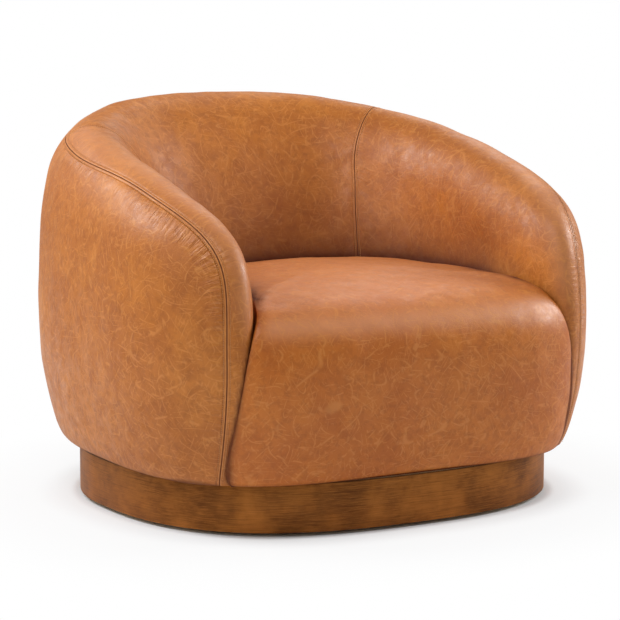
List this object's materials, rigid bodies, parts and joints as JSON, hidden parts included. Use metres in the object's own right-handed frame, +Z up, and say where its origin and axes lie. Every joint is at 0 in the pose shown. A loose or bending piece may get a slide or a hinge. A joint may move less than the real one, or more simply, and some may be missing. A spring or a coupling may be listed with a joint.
{
  "type": "leather barrel swivel armchair",
  "caption": "Round-backed leather armchair with rolled arms that fall to the front, a crowned fixed seat and a recessed metal-faced plinth that turns on a ball-bearing swivel",
  "frame": {"origin": "centre of the bounding box in plan, at the floor under the glides", "axes": "+Z up, the front of the seat faces -Y, +X to the right seen from the front"},
  "size_m": [0.9138, 0.9368, 0.6982],
  "materials": {
    "leather": "waxed pull-up, soft sheen",
    "foam": "open-cell foam",
    "felt": "pressed felt",
    "bronze": "brushed aged bronze",
    "softwood": "planed",
    "plywood": "sanded birch faces",
    "cage_brass": "bare",
    "bush_plastic": "self-lubricating",
    "glide_plastic": "moulded",
    "steel": "ground",
    "zinc_plated": "bright zinc"
  },
  "bodies": {
    "base": {"floor_glides": "glide_plastic", "floor_board": "plywood", "pivot_bolt": "steel", "pivot_washer": "zinc_plated", "pivot_nut": "zinc_plated", "lower_race": "steel", "lower_race_screws": "zinc_plated"},
    "cage": {"ball_cage": "cage_brass", "swivel_balls": "steel"},
    "chair": {"upper_race": "steel", "upper_race_screws": "zinc_plated", "riser": "plywood", "riser_bolts": "zinc_plated", "pivot_bush": "bush_plastic", "plinth_beams": "softwood", "plinth_core": "plywood", "plinth_band": "bronze", "deck_board": "plywood", "deck_screws": "zinc_plated", "front_rail": "softwood", "seat_hoop": "softwood", "corner_blocks": "softwood", "seat_springs": "steel", "spring_clips": "zinc_plated", "spring_ties": "steel", "spring_pad": "felt", "arm_ribs_left": "plywood", "arm_ribs_right": "plywood", "back_ribs": "plywood", "shell_wall": "plywood", "shell_rail": "plywood", "seat_foam": "foam", "front_foam": "foam", "seat_cover": "leather", "arm_foam_left": "foam", "arm_foam_right": "foam", "back_foam": "foam", "outer_panel_left": "leather", "outer_panel_right": "leather", "outer_back_panel": "leather", "arm_panel_left": "leather", "arm_panel_right": "leather", "inside_back_panel": "leather"}
  },
  "joints": [
    {"name": "seat_swivel", "type": "hinge", "parent": "base", "child": "chair", "pos_m": [0, -0.035, 0.035], "axis": [0, 0, 1], "continuous": true},
    {"name": "cage_turn", "type": "hinge", "parent": "base", "child": "cage", "pos_m": [0, -0.035, 0.035], "axis": [0, 0, 1], "continuous": true}
  ],
  "couplings": [
    {"joint": "cage_turn", "follows": "seat_swivel", "ratio": 0.5}
  ]
}
